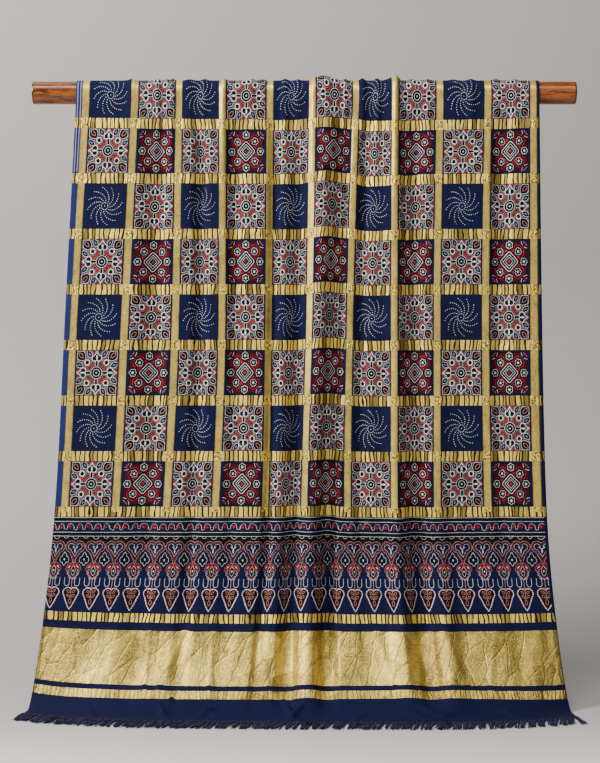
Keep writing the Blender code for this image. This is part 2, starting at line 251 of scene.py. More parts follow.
def through(values, places, levels):
    """Smooth curves through levels at places, which don't overshoot them. Levels may be a row for each place."""
    places, levels = np.asarray(places), np.asarray(levels, dtype=float)
    values = np.clip(values, places[0], places[-1])
    steps = np.diff(places)
    slopes = np.diff(levels, axis=0) / steps.reshape(-1, *[1] * (levels.ndim - 1))
    before = np.concatenate([slopes[:1], slopes])
    after = np.concatenate([slopes, slopes[-1:]])
    both = np.where(before * after > 0, before + after, 1.0)
    tangents = np.where(before * after > 0, 2.0 * before * after / both, 0.0)
    index = np.clip(np.searchsorted(places, values, side="right") - 1, 0, len(steps) - 1)
    part = (values - places[index]) / steps[index]
    step = steps[index]
    if levels.ndim > 1:
        part, step = part[:, None], step[:, None]
    rest = 1.0 - part
    return (
        levels[index] * rest * rest * (1.0 + 2.0 * part)
        + levels[index + 1] * part * part * (3.0 - 2.0 * part)
        + step * part * rest * (tangents[index] * rest - tangents[index + 1] * part)
    )


def column_of(rows, field):
    """One field of every row of a table."""
    return [getattr(row, field) for row in rows]


def along_rod(across, down):
    """The places along X of a grid of flat places."""
    places = column_of(WARPS, "across")
    fields = ("at_rod", "at_middle", "at_border", "at_hem")
    levels = [through(across, places, column_of(WARPS, field)) for field in fields]
    narrowing = BACK_NARROWING * soft_step(-down, 0.0, BACK_LENGTH)
    return through(np.abs(down), WARP_LEVELS, levels) * (1.0 - narrowing[:, None])


def fold_heights(across, down):
    """How far the folds carry a grid of flat places out from the plain path."""
    level = np.abs(down)
    heights = np.zeros((len(down), len(across)))
    for fold in FOLDS:
        middle = fold.at_rod + (fold.at_foot - fold.at_rod) * soft_step(level, 0.0, FRONT_LENGTH)
        offset = across[None, :] - middle[:, None]
        share = np.abs(offset) / np.where(offset < 0, fold.left, fold.right)
        depth = through(level, FOLD_LEVELS, (fold.top, fold.middle, fold.border, fold.foot))
        heights += depth[:, None] * (1.0 - soft_step(share, 0.0, 1.0))
    return heights


def pleat_heights(across, down):
    """How high the pleats stand on a grid of flat places, dying away on both sides of the rod."""
    heights = np.zeros((len(down), len(across)))
    for pleat in PLEATS:
        bump = PLEAT_HEIGHT * pleat.height * np.exp(-(((across - pleat.across) / pleat.half_width) ** 2))
        heights += (1.0 - soft_step(np.abs(down), 0.2 * pleat.reach, pleat.reach))[:, None] * bump[None, :]
    return heights


def drawn_up(across, down):
    """How far each place of a grid is drawn up along the front, which moves no edge of the cloth."""
    places = column_of(DRAWS, "across")
    levels = [through(across, places, column_of(DRAWS, field)) for field in DRAWS[0]._fields[1:]]
    fading = soft_step(down, -0.020, DRAW_LEVELS[0]) * (1.0 - soft_step(down, *DRAWS_END))
    return through(down, DRAW_LEVELS, levels) * fading[:, None]


def stand_offs(across, down):
    """The whole offset of a grid of flat places from the plain path, along its outward normal."""
    folds = fold_heights(across, down) * (1.0 - soft_step(down, *FOLDS_END))[:, None]
    folds *= np.where(folds < 0, INWARD_DEPTH, OUTWARD_DEPTH)
    folds *= np.where(down < 0, BACK_FOLDS, 1.0)[:, None]
    room = np.maximum(INWARD_ROOM * soft_step(np.abs(down), *INWARD_LEVELS), 1e-9)[:, None]
    held_in = np.where(folds < 0, -room * (1.0 - np.exp(np.minimum(folds, 0.0) / room)), folds)
    return held_in + pleat_heights(across, down)


def side_view(ahead, height):
    """A path with the flat length up to each of its points."""
    length = np.concatenate([[0.0], np.cumsum(np.hypot(np.diff(ahead), np.diff(height)))])
    return length, ahead, height


def front_path(reach):
    """The plain side view of the front from the rod's top: flat length, distance ahead and height."""
    turn = np.linspace(0.0, math.pi / 2, TURN_PATH_STEPS)
    foot = np.linspace(0.0, math.pi / 2, FOOT_PATH_STEPS)[1:]
    bottom = FLOOR + FLOOR_LIFT + CAD_SHEET / 2
    ahead = [TURN_RADIUS * np.sin(turn), [TURN_RADIUS], TURN_RADIUS + reach * (1.0 - np.cos(foot)), [FLOOR_RUN]]
    drop = LEAN_START + (bottom - LEAN_START) * np.sin(foot)
    return side_view(np.concatenate(ahead), np.concatenate([TURN_RADIUS * np.cos(turn), [LEAN_START], drop, [bottom]]))


def back_path():
    """The same for the back, which hangs straight."""
    turn = np.linspace(0.0, math.pi / 2, TURN_PATH_STEPS)
    ahead = np.concatenate([TURN_RADIUS * np.sin(turn), [TURN_RADIUS]])
    return side_view(ahead, np.concatenate([TURN_RADIUS * np.cos(turn), [-BACK_LENGTH]]))


def crease_heights(across, down):
    """How high the small creases at the foot stand on a grid of flat places."""
    heights = np.zeros((len(down), len(across)))
    for crease in CREASES:
        right = across[None, :] - crease.across
        below = down[:, None] - crease.down
        run = right * math.sin(crease.slant) + below * math.cos(crease.slant)
        aside = right * math.cos(crease.slant) - below * math.sin(crease.slant)
        heights += CREASE_HEIGHT * crease.height * np.exp(-((run / crease.length) ** 2) - (aside / crease.width) ** 2)
    return heights


def on_path(path, places, out):
    """Points of a path at flat lengths, carried out along the path's normal."""
    length, ahead, height = path
    near, far = np.maximum(places - NORMAL_STEP, 0.0), places + NORMAL_STEP
    run = np.interp(far, length, ahead) - np.interp(near, length, ahead)
    rise = np.interp(far, length, height) - np.interp(near, length, height)
    size = np.hypot(run, rise)
    return (
        np.interp(places, length, ahead) - out * rise / size,
        np.interp(places, length, height) + out * run / size * np.where(places > FOLDS_HANG, FOLD_LIFT, 1.0),
    )


def cloth_points(across, down):
    """The middle of the sheet on a grid of flat places: rows by columns by three."""
    out = stand_offs(across, down)
    feet = column_of(FEET, "across")
    reaches = through(across, feet, column_of(FEET, "reach"))
    taken_up = through(across, feet, column_of(FEET, "taken_up"))
    rises = drawn_up(across, down)
    part = np.maximum(down - TAKING_UP_STARTS, 0.0) / (FRONT_LENGTH - TAKING_UP_STARTS)
    points = np.empty((len(down), len(across), 3))
    points[:, :, 0] = along_rod(across, down)
    hanging = back_path()
    front = down >= 0
    for column, reach in enumerate(reaches):
        places = (down - rises[:, column] - taken_up[column] * part * part)[front]
        ahead, height = on_path(front_path(reach), places, out[front, column])
        points[front, column, 1], points[front, column, 2] = -ahead, height
        behind, height = on_path(hanging, -down[~front], out[~front, column])
        points[~front, column, 1], points[~front, column, 2] = behind, height
    points[:, :, 2] += crease_heights(across, down)
    return points


def evenly(start, end, step):
    """Places from start to end, both kept, about a step apart."""
    return np.linspace(start, end, round(abs(end - start) / step) + 1)


def row_places(settings):
    """Where the sheet's rows lie, from the front hem over the rod to the back hem."""
    quarter = TURN_RADIUS * math.pi / 2
    parts = (
        evenly(FRONT_LENGTH, FINE_HEM_STARTS, settings.hem_step),
        evenly(FINE_HEM_STARTS, quarter, settings.front_step),
        evenly(quarter, -quarter, settings.hem_step),
        evenly(-quarter, -BACK_LENGTH, settings.back_step),
    )
    return np.concatenate([parts[0], *(part[1:] for part in parts[1:])])


def grid_mesh(name, points, across, down):
    """A sheet of square faces on a grid of points, with its flat places as a UV map."""
    rows, columns = points.shape[:2]
    corner = np.arange(rows * columns).reshape(rows, columns)
    quads = np.stack([corner[:-1, :-1], corner[:-1, 1:], corner[1:, 1:], corner[1:, :-1]], axis=-1).reshape(-1, 4)
    mesh = bpy.data.meshes.new(name)
    mesh.from_pydata(points.reshape(-1, 3).tolist(), [], quads.tolist())
    flat = np.stack(np.meshgrid(across, down), axis=-1).reshape(-1, 2)
    layer = mesh.uv_layers.new(name="flat")
    layer.data.foreach_set("uv", flat[quads.reshape(-1)].astype(np.float32).reshape(-1))
    mesh.shade_smooth()
    return mesh


def show(name, mesh):
    """A new object in the scene that shows a mesh, curve, light or camera."""
    piece = bpy.data.objects.new(name, mesh)
    bpy.context.scene.collection.objects.link(piece)
    return piece


# Shader maths


def as_node(operation, turned=False):
    """A method for one of Python's operators, which adds a Math node. The other number comes first if turned."""

    def method(self, *others):
        values = (*others, self) if turned else (self, *others)
        return self.graph.math(operation, *values)

    return method


class Value:
    """A number in a node tree. Python's operators on it add Math nodes."""

    def __init__(self, graph, socket):
        self.graph = graph
        self.socket = socket

    __add__ = __radd__ = as_node("ADD")
    __sub__ = as_node("SUBTRACT")
    __rsub__ = as_node("SUBTRACT", turned=True)
    __mul__ = __rmul__ = as_node("MULTIPLY")
    __truediv__ = as_node("DIVIDE")
    __pow__ = as_node("POWER")
    __mod__ = as_node("FLOORED_MODULO")
    __lt__ = as_node("LESS_THAN")
    __gt__ = as_node("GREATER_THAN")
    __abs__ = as_node("ABSOLUTE")
    __floor__ = as_node("FLOOR")


class Tree:
    """A node tree."""

    def __init__(self, tree):
        self.tree = tree

    def add(self, kind, settings=None, inputs=None):
        """A new node, whose settings are made before its sockets are fed."""
        node = self.tree.nodes.new(kind)
        for name, value in (settings or {}).items():
            setattr(node, name, value)
        for name, value in (inputs or {}).items():
            self.feed(node.inputs[name], value)
        return node

    def feed(self, socket, value):
        source = value.socket if isinstance(value, Value) else value
        if isinstance(source, bpy.types.NodeSocket):
            self.tree.links.new(source, socket)
        elif socket.type == "RGBA":
            socket.default_value = (*source[:3], 1.0)
        else:
            socket.default_value = source

    def math(self, operation, *values):
        node = self.add("ShaderNodeMath", {"operation": operation}, dict(enumerate(values)))
        return Value(self, node.outputs[0])

    def place(self, x, y, z=0.0):
        return self.add("ShaderNodeCombineXYZ", None, {0: x, 1: y, 2: z}).outputs[0]


class Graph(Tree):
    """The node tree of one material."""

    def __init__(self, name):
        self.material = bpy.data.materials.new(name)
        self.material.use_nodes = True
        super().__init__(self.material.node_tree)
        self.shader = self.tree.nodes["Principled BSDF"]

    def finish(self, **inputs):
        """Feeds the shader's own sockets, named with _ for each space."""
        for name, value in inputs.items():
            self.feed(self.shader.inputs[name.replace("_", " ").title().replace("Ior", "IOR")], value)
        return self.material

    def mix(self, share, first, second):
        """A colour between two others."""
        node = self.add("ShaderNodeMix", {"data_type": "RGBA"}, {0: share, 6: first, 7: second})
        return node.outputs[2]

    def ramp(self, value, low, high, start=0.0, end=1.0):
        """start up to low, end from high, and an even curve between."""
        node = self.add(
            "ShaderNodeMapRange",
            {"interpolation_type": "SMOOTHSTEP"},
            {"Value": value, "From Min": low, "From Max": high, "To Min": start, "To Max": end},
        )
        return Value(self, node.outputs["Result"])

    def noise(self, place, scale, detail=2.0, roughness=0.5):
        inputs = {"Vector": place, "Scale": scale, "Detail": detail, "Roughness": roughness}
        return Value(self, self.add("ShaderNodeTexNoise", None, inputs).outputs["Fac"])

    def crease_distance(self, place):
        """How far a place on a line lies from the nearest of its uneven creases, which are about 1 apart."""
        settings = {"voronoi_dimensions": "1D", "feature": "DISTANCE_TO_EDGE"}
        node = self.add("ShaderNodeTexVoronoi", settings, {"W": place, "Scale": 1.0})
        return Value(self, node.outputs["Distance"])

    def parts(self, vector):
        """The three numbers of a vector."""
        node = self.add("ShaderNodeSeparateXYZ", None, {"Vector": vector})
        return [Value(self, output) for output in node.outputs]

    def bump(self, height, strength, distance):
        node = self.add("ShaderNodeBump", None, {"Height": height, "Strength": strength, "Distance": distance})
        return node.outputs["Normal"]


def least(first, second):
    """The smaller of two values: the union of two shapes' distances."""
    return first.graph.math("MINIMUM", first, second)


def most(first, second):
    """The larger of two values: where both shapes are, or either mask is."""
    return first.graph.math("MAXIMUM", first, second)


def radius_of(x, y):
    return (x * x + y * y) ** 0.5


def angle_of(x, y):
    return x.graph.math("ARCTAN2", y, x)


def wrapped(value, period):
    """How far a value lies from the nearest multiple of the period."""
    return (value + period / 2) % period - period / 2


def leaf(x, y, half_length, half_width):
    """The distance from a pointed leaf's edge, negative inside it. It runs along y, and x isn't negative."""
    curve = (half_length**2 + half_width**2) / (2 * half_width)
    return radius_of(x + (curve - half_width), y) - curve


def heart(x, y, lobe, radius, tip, bend=1.35):
    """About the distance from a heart's edge, negative inside it. Its two round lobes lie at lobe to either side,
    and its sides draw in to a point at tip along y, the more hollow the larger bend is. x isn't negative."""
    side = most(1.0 - y / tip, 0.0) ** bend * (0.97 * (lobe + radius))
    return least(radius_of(x - lobe, y) - radius, most(most(0.85 * (x - side), y - tip), 0.0 - y))


class Print:
    """Colours printed over each other, the last one on top."""

    def __init__(self, graph, ground):
        self.graph = graph
        self.colour = ground

    def lay(self, mask, ink):
        self.colour = self.graph.mix(mask, self.colour, ink)

    def fill(self, distance, ink):
        self.lay(distance < 0.0, ink)

    def line(self, distance, width, ink):
        self.lay(abs(distance) < width / 2, ink)


# The printed cloth

Inks = namedtuple("Inks", "navy black deep_red bright_red white blue pink")
Gold = namedtuple("Gold", "stripe stripe_rim crossing wide everywhere")

WHIRL_ARMS = 12
WHIRL_TURN = 1.48  # how far an arm turns, in radians for each half side
WHIRL_REACH = 0.86
DOT_SPACING = 0.112
DOT_RADIUS = 0.0190


def whirl(graph, s, t):
    """Where the whirl's white dots lie in a square, whose sides are at -1 and 1."""
    radius = radius_of(s, t)
    angle = angle_of(s, 0.0 - t)
    # The dots are as far apart along an arm at its end as near the middle, so their places in radius close up.
    stretched = radius + 0.35 * radius * radius
    nearest = (math.floor(stretched / DOT_SPACING) + 0.5) * DOT_SPACING
    dot_radius = ((1.0 + 1.4 * nearest) ** 0.5 - 1.0) / 0.7
    spacing = 2 * math.pi / WHIRL_ARMS
    aside = wrapped(angle - WHIRL_TURN * dot_radius, spacing) * radius
    dots = radius_of(radius - dot_radius, aside) < DOT_RADIUS
    return most(dots * (radius > 0.11) * (radius < WHIRL_REACH), radius < DOT_RADIUS)


def flower_square(graph, s, t, inks):
    """A square that one large flower fills: spades on its axes, leaves in its corners, and four round blooms,
    all with an echoing outline on black."""
    far, near = most(abs(s), abs(t)), least(abs(s), abs(t))
    slant, aside = (far + near) * math.sqrt(0.5), (far - near) * math.sqrt(0.5)
    middle = radius_of(s, t)

    corner = leaf(aside, slant - 1.09, 0.30, 0.215)
    run = 0.55 * (near - 0.345) + 0.835 * (far - 0.815)
    rise = abs(0.835 * (near - 0.345) - 0.55 * (far - 0.815))
    drop = leaf(rise, run, 0.185, 0.115)
    spade = heart(near, far - 0.635, 0.100, 0.125, 0.315)
    bloom = radius_of(aside, slant - 0.636) - 0.145
    centre = middle - 0.290
    stem = most(near - 0.062, far - 0.55)
    nearest = least(least(least(corner, drop), least(spade, stem)), least(bloom, centre))

    paint = Print(graph, inks.bright_red)
    paint.fill(nearest - 0.088, inks.black)
    paint.line(nearest - 0.052, 0.014, inks.pink)
    paint.line(least(corner, drop), 0.019, inks.white)
    paint.line(leaf(aside, slant - 1.08, 0.155, 0.075), 0.018, inks.pink)
    paint.fill(drop + 0.085, inks.blue)
    paint.line(stem, 0.018, inks.white)
    paint.line(spade, 0.036, inks.white)
    paint.fill(spade + 0.018, inks.black)
    paint.fill(leaf(near, far - 0.670, 0.125, 0.040), inks.white)
    paint.line(bloom + 0.030, 0.050, inks.white)
    paint.fill(centre, inks.black)
    paint.line(middle - 0.262, 0.022, inks.white)
    paint.line(middle - 0.150, 0.020, inks.white)
    paint.fill(middle - 0.034, inks.white)
    paint.lay((abs(far - 0.945) < 0.009) * (near > 0.60), inks.white)
    paint.lay(far > 0.965, inks.navy)
    return paint.colour


def posy_square(graph, s, t, inks):
    """A navy square with a red field: a diamond of lines with eight small flowers around it."""
    far, near = most(abs(s), abs(t)), least(abs(s), abs(t))
    slant, aside = (far + near) * math.sqrt(0.5), (far - near) * math.sqrt(0.5)
    radius = radius_of(s, t)
    angle = angle_of(s, t)
    paint = Print(graph, inks.navy)

    corner = radius_of(far - 0.90, near - 0.90)
    field = most(far - 0.865, 0.355 - corner)
    paint.fill(field - 0.045, inks.black)
    paint.fill(field, inks.deep_red)
    inside = (far < 0.90) * (aside > 0.05)
    paint.lay((abs(corner - 0.300) < 0.011) * inside, inks.white)
    paint.lay((abs(corner - 0.180) < 0.010) * inside, inks.pink)
    paint.fill(radius_of(far - 0.80, near - 0.80) - 0.050, inks.bright_red)

    turned = wrapped(angle, math.pi / 4)
    x = radius * graph.math("COSINE", turned) - (0.680 + 0.056 * graph.math("COSINE", angle * 4.0))
    y = radius * graph.math("SINE", turned)
    flower = radius_of(x, y)
    paint.lay((abs(flower - 0.268) < 0.018) * (aside < 0.30) * (far < 0.80), inks.bright_red)
    paint.fill(flower - 0.238, inks.black)
    petal_turn = wrapped(angle_of(x, y), math.pi / 3)
    petal_x = flower * graph.math("COSINE", petal_turn)
    petal_y = flower * graph.math("SINE", petal_turn)
    petal = radius_of(petal_x - 0.104, petal_y)
    paint.fill(petal - 0.074, inks.white)
    paint.fill(petal - 0.056, inks.black)
    paint.fill(flower - 0.036, inks.white)

    diamond = most(slant - 0.325, far - 0.420)
    paint.lay((abs(diamond - 0.115) < 0.018) * (near > 0.09), inks.bright_red)
    paint.fill(diamond - 0.088, inks.black)
    paint.line(diamond, 0.026, inks.white)
    paint.line(diamond + 0.105, 0.020, inks.white)
    paint.line(diamond + 0.190, 0.016, inks.white)
    paint.fill(diamond + 0.265, inks.bright_red)
    return paint.colour


BORDER_START = 0.7972
BORDER_END = 0.9700
HEARTS_TOP = 0.8424
HEART_PITCH = 37.7
HEART_SHIFT = 9.5
BEAD_PITCH = 17.4


def border(graph, across, level, inks):
    """The printed border, in millimetres: lines and beads at its top, then hearts and buds, tulips, horns, and
    serrated leaves at its foot."""
    y = (level - HEARTS_TOP) * 1000.0
    sideways = across * 1000.0
    x = abs(wrapped(sideways - HEART_SHIFT, HEART_PITCH))
    between = HEART_PITCH / 2 - x
    paint = Print(graph, inks.navy)

    love = heart(x, y - 9.5, 7.6, 8.6, 27.5)
    paint.lay((y < 10.0) * (y > -10.0), inks.black)
    paint.fill(love - 2.6, inks.black)
    paint.line(love - 1.9, 0.3, inks.white)
    paint.line(love - 0.1, 1.1, inks.bright_red)
    paint.line(love + 3.1, 0.5, inks.white)
    paint.fill(love + 3.6, inks.navy)
    paint.fill(least(radius_of(x - 3.7, y - 10.0) - 1.0, leaf(x, y - 17.0, 4.6, 1.1)), inks.white)

    bud = least(leaf(between, y - 32.0, 12.5, 5.0), leaf(abs(between - 5.4), y - 33.5, 6.0, 3.2))
    paint.fill(bud, inks.black)
    paint.line(bud, 0.6, inks.white)
    paint.fill(leaf(between, y - 33.0, 2.2, 1.2), inks.white)

    run = 0.720 * (x - 7.2) + 0.694 * (y - 45.5)
    rise = abs(0.720 * (y - 45.5) - 0.694 * (x - 7.2))
    petal = leaf(rise, run, 9.6, 4.1)
    body = leaf(x, y - 53.5, 13.0, 7.2)
    paint.fill(body, inks.black)
    paint.line(body + 0.4, 0.9, inks.bright_red)
    paint.line(body + 3.4, 0.5, inks.white)
    paint.fill(leaf(x, y - 53.5, 2.0, 1.1), inks.white)
    paint.fill(petal - 0.4, inks.pink)
    paint.fill(petal, inks.deep_red)
    paint.fill(petal + 1.6, inks.bright_red)
    paint.fill(leaf(rise, run - 1.0, 3.2, 0.7), inks.white)
    dashes = (abs(body - 2.9) < 1.9) * (abs(y - 61.0) < 8.0) * ((y + x * 0.9) % 3.8 < 1.1)
    paint.lay(dashes, inks.white)

    horn = radius_of(x - 9.6, most(y - 77.0, 0.0)) - 4.6
    horns = (y > 66.0) * (y < 84.0)
    paint.lay((abs(horn) < 0.35) * horns, inks.white)

    paint.lay((x < 0.4) * (abs(y - 76.0) < 10.0), inks.pink)
    blade = heart(x, y - 93.5, 6.2, 8.6, 30.0, 0.74)
    teeth = abs(wrapped(y, 3.6)) * 0.75
    paint.fill(blade - teeth, inks.white)
    paint.fill(blade + 0.5, inks.bright_red)
    paint.fill(blade + 1.4, inks.black)
    for sprig_x, sprig_y in ((5.2, 91.5), (4.4, 99.5)):
        run = 0.75 * (x - sprig_x) - 0.66 * (y - sprig_y)
        rise = abs(0.66 * (x - sprig_x) + 0.75 * (y - sprig_y))
        paint.line(leaf(rise, run, 3.7, 1.8), 0.6, inks.pink)
    paint.line(leaf(x, y - 109.5, 5.0, 2.3), 0.6, inks.pink)
    paint.lay((x < 0.35) * (abs(y - 96.0) < 8.0), inks.pink)

    for middle in (-39.7, -13.1):
        paint.lay(abs(y - middle) < 3.5, inks.black)
        paint.line(abs(y - middle) - 3.5, 0.7, inks.white)
    below = y > -9.5
    paint.lay((abs(radius_of(x, y + 9.5) - 5.2) < 0.28) * below, inks.white)
    paint.lay((abs(radius_of(between, y + 9.5) - 4.0) < 0.28) * below, inks.white)
    drift = graph.noise(graph.place(sideways * 0.05, 0.5), 1.0, 1.0) - 0.5
    bead_x = wrapped(sideways + drift * 14.0, BEAD_PITCH)
    bead_y = y + 26.6 + drift * 6.0
    bead = radius_of(bead_x, bead_y)
    paint.fill(bead - 5.0, inks.black)
    paint.fill(bead - 4.1, inks.deep_red)
    paint.fill(radius_of(bead_x + 0.8, bead_y - 0.6) - 2.8, inks.bright_red)
    curl = radius_of(BEAD_PITCH / 2 - abs(bead_x), bead_y - 2.0) - 3.0
    paint.lay((abs(curl) < 0.3) * (bead_y > 0.0), inks.white)
    paint.lay((abs(bead - 5.6) < 0.26) * (bead_y < 1.0), inks.white)
    return paint.colour


def dyed_inks(graph, settings, across, down):
    """The printing colours. The dye has taken unevenly, so lines break up into lighter and darker runs."""
    taken = graph.noise(graph.place(across, down), 420.0, 1.0)
    patchy = graph.noise(graph.place(down, across), 260.0, 1.0)
    return Inks(
        settings.navy,
        settings.black,
        settings.deep_red,
        graph.mix(graph.ramp(patchy, 0.40, 0.66), settings.bright_red, settings.deep_red),
        graph.mix(graph.ramp(taken, 0.42, 0.68, 0.0, 0.75), settings.white, settings.blue),
        settings.blue,
        settings.pink,
    )


def printed_ground(graph, inks, across, down, level):
    """The cloth under the gold: squares of three kinds in turn, the border, and a plain end."""
    column = (across - STRIPE_START) / STRIPE_PITCH
    row = (down - BAND_START) / BAND_PITCH
    s = (column % 1.0 - 0.5) * (STRIPE_PITCH / SQUARE_HALF_WIDTH)
    t = (row % 1.0 - 0.5) * (BAND_PITCH / SQUARE_HALF_HEIGHT)
    odd_column = math.floor(column) % 2.0
    odd_row = math.floor(row) % 2.0

    paint = Print(graph, graph.mix(odd_column, inks.navy, posy_square(graph, s, t, inks)))
    paint.lay(odd_row * (1.0 - odd_column), inks.navy)
    paint.lay(odd_row * (1.0 - odd_column) * whirl(graph, s, t), inks.white)
    paint.lay(abs(odd_column - odd_row) < 0.5, flower_square(graph, s, t, inks))
    paint.lay((level > BORDER_START) * (level < BORDER_END), border(graph, across, level, inks))
    paint.lay(level > BORDER_END, inks.navy)
    return paint


def gold_layout(across, down, level):
    """Where the gold lies: lengthwise stripes, crosswise bands, and a wide band near each end."""
    stripe_place = abs(wrapped(across - STRIPE_START, STRIPE_PITCH))
    band_place = abs(wrapped(down - BAND_START, BAND_PITCH))
    squares = level < LAST_BAND
    stripe = (stripe_place < STRIPE_WIDTH / 2) * squares
    band = most((band_place < BAND_WIDTH / 2) * squares, abs(level - LAST_BAND) < BAND_WIDTH / 2)
    crossing = most(band, most(*(abs(level - middle) < half_width for middle, half_width in THIN_BANDS)))
    wide = abs(level - WIDE_BAND) < WIDE_BAND_WIDTH / 2
    return Gold(stripe, stripe_place > STRIPE_CORE, crossing, wide, most(most(stripe, crossing), wide))


def gold_threads(graph, gold, across, down, level):
    """How much light is painted on the gold threads, how much painted shade darkens their creases, how high
    they stand, and how fine threads vary."""
    # The crosswise bands pucker: their threads lie in narrow plates with creases between. Their light and shade
    # are painted: some plates are painted in shade, and painted shade darkens the creases and the larger folds.
    sway = graph.noise(graph.place(across * 40.0, down * 25.0), 1.0, 2.0) - 0.5
    row = (down - BAND_START) / BAND_PITCH
    plate_place = across * 115.0 + sway * 1.6 + math.floor(row + 0.5) * 7.3
    cells = graph.add(
        "ShaderNodeTexVoronoi", {"voronoi_dimensions": "1D", "feature": "F1"}, {"W": plate_place, "Scale": 1.0}
    )
    plate_tone, _, _ = graph.parts(cells.outputs["Color"])
    crease = graph.ramp(graph.crease_distance(plate_place), 0.05, 0.24)
    folds = graph.ramp(graph.crease_distance(plate_place * 2.3 + sway), 0.0, 0.30, 0.55, 1.1)
    fine = graph.noise(graph.place(across * 700.0, down * 90.0), 1.0, 2.0, 0.6)
    plates = crease * folds * graph.ramp(plate_tone, 0.05, 0.45, 0.25, 1.0) * (0.8 + 0.4 * fine)

    # The lengthwise stripes are woven flat, and knotted where they cross a band, with painted light and shade on
    # the knots' wrinkles.
    threads = graph.noise(graph.place(across * 90.0, down * 900.0), 1.0, 2.0, 0.6)
    uneven = graph.noise(graph.place(across * 55.0, down * 22.0), 1.0, 3.0)
    woven = 0.58 + 0.8 * (fine - 0.5) + 0.8 * (threads - 0.5) + 0.7 * (uneven - 0.5) - 0.2 * gold.stripe_rim
    knot = graph.ramp(graph.noise(graph.place(across * 260.0, down * 260.0), 1.0, 1.0), 0.38, 0.60, 0.15, 1.0)

    # The wide band is crumpled like foil, in long facets with seams between. Its light and shade are painted: the
    # crumples, each facet lit to its own degree, shade along the seams, fine glints, and broad streaks of fold shade.
    crumple = graph.noise(graph.place(across * 60.0, down * 45.0), 1.0, 3.0)
    sparkle = graph.noise(graph.place(across * 320.0, down * 320.0), 1.0, 2.0, 0.7)
    painted_fold_shade = graph.noise(graph.place(across * 17.0 + down * 6.0, down * 3.0), 1.0, 3.0)
    bent = {"Vector": graph.place(across * 34.0 + down * 12.0 + sway * 0.4, down * 15.0 - sway * 0.3), "Scale": 1.0}
    facet_tone, _, _ = graph.parts(graph.add("ShaderNodeTexVoronoi", None, bent).outputs["Color"])
    seams = graph.add("ShaderNodeTexVoronoi", {"feature": "DISTANCE_TO_EDGE"}, bent)
    seam = 1.0 - graph.ramp(Value(graph, seams.outputs["Distance"]), 0.0, 0.07)
    foil = 0.47 + 0.5 * (crumple - 0.5) + 1.3 * (sparkle - 0.5) + 1.2 * (painted_fold_shade - 0.5)
    foil = most(foil + 0.26 * (facet_tone - 0.5) - 0.10 * seam, 0.20)

    last = level > LAST_THIN_BAND
    lit = gold.crossing * (1.0 - gold.stripe) * (plates * (1.0 - 0.8 * last) + foil * 0.8 * last)
    lit = lit + gold.crossing * gold.stripe * knot + (1.0 - gold.crossing) * gold.stripe * woven + gold.wide * foil
    lit = lit * (1.0 - 0.6 * (abs(across - CLOTH_WIDTH / 2) > CLOTH_WIDTH / 2 - GOLD_RIM))
    # Painted shade: how far the crosswise bands' creases are darkened towards black, less on the crumpled last band.
    painted_crease_shade = gold.crossing * (1.0 - gold.stripe) * (1.0 - crease) * (0.8 - 0.6 * last)
    foil_height = crumple * 4.0 + sparkle * 1.6 - seam * 0.8 + facet_tone * 0.8
    height = gold.crossing * (crease * folds + 0.3 * plate_tone) + most(gold.wide, last * gold.crossing) * foil_height
    return lit, painted_crease_shade, height, fine - 0.5


def printed_cloth(settings):
    """Navy cotton, block-printed in squares and a border, with woven bands of gold thread."""
    graph = Graph("printed_cloth")
    flat = graph.add("ShaderNodeUVMap", {"uv_map": "flat"}).outputs["UV"]
    across, down, _ = graph.parts(flat)
    wander = graph.noise(graph.place(across, down), 60.0, 1.0) - 0.5
    across_print, down_print = across + wander * 0.0010, down - wander * 0.0010
    # Both ends of the cloth carry the same border, so its places are measured from the nearer hem.
    level = most(down_print, (FRONT_LENGTH - BACK_LENGTH) - down_print)

    inks = dyed_inks(graph, settings, across, down)
    paint = printed_ground(graph, inks, across_print, down_print, level)
    paint.lay((across < STRIPE_START - STRIPE_WIDTH / 2) * (level < LAST_BAND), settings.selvedge)
    lines = least(*(abs(across - place) for place in SELVEDGE_LINES))
    paint.lay((lines < 0.0006) * (abs(down) < SELVEDGE_LINES_END), settings.selvedge_line)
    paint.lay(across > RIGHT_EDGE, inks.navy)
    shade = graph.noise(graph.place(across, down), 14.0, 3.0)
    dyed = graph.mix(graph.ramp(shade, 0.3, 0.8, 0.0, 0.25), paint.colour, inks.black)

    gold = gold_layout(across, down, level)
    lit, painted_crease_shade, height, fine = gold_threads(graph, gold, across, down, level)
    # Painted light and shade: lit paints the gold from shaded gold to lit gold, and painted crease shade darkens it
    # towards black.
    gold_colour = graph.mix(painted_crease_shade, graph.mix(lit, settings.gold_dark, settings.gold_light), inks.black)
    weave = graph.noise(graph.place(across * 1400.0, down * 1400.0), 1.0, 1.0)
    return graph.finish(
        base_color=graph.mix(gold.everywhere, dyed, gold_colour),
        roughness=0.86 - gold.everywhere * 0.44 + gold.everywhere * 0.2 * fine,
        metallic=gold.everywhere * 0.60,
        specular_ior_level=0.14,
        normal=graph.bump(weave * 0.12 + height, 0.6, 0.0012),
    )


# The fringes


def yarn_material(settings):
    """Navy cotton yarn, twisted."""
    graph = Graph("navy_yarn")
    place = graph.add("ShaderNodeTexCoord").outputs["Object"]
    tone = graph.noise(place, 90.0, 3.0)
    fibres = graph.noise(place, 1500.0, 2.0, 0.7)
    colour = graph.mix(graph.ramp(tone, 0.25, 0.75), settings.dark, settings.light)
    return graph.finish(
        base_color=colour, roughness=0.82 + 0.1 * (fibres - 0.5), metallic=0.0, normal=graph.bump(fibres, 0.5, 0.0004)
    )


PLIES = 2
PLY_SIDES = 3


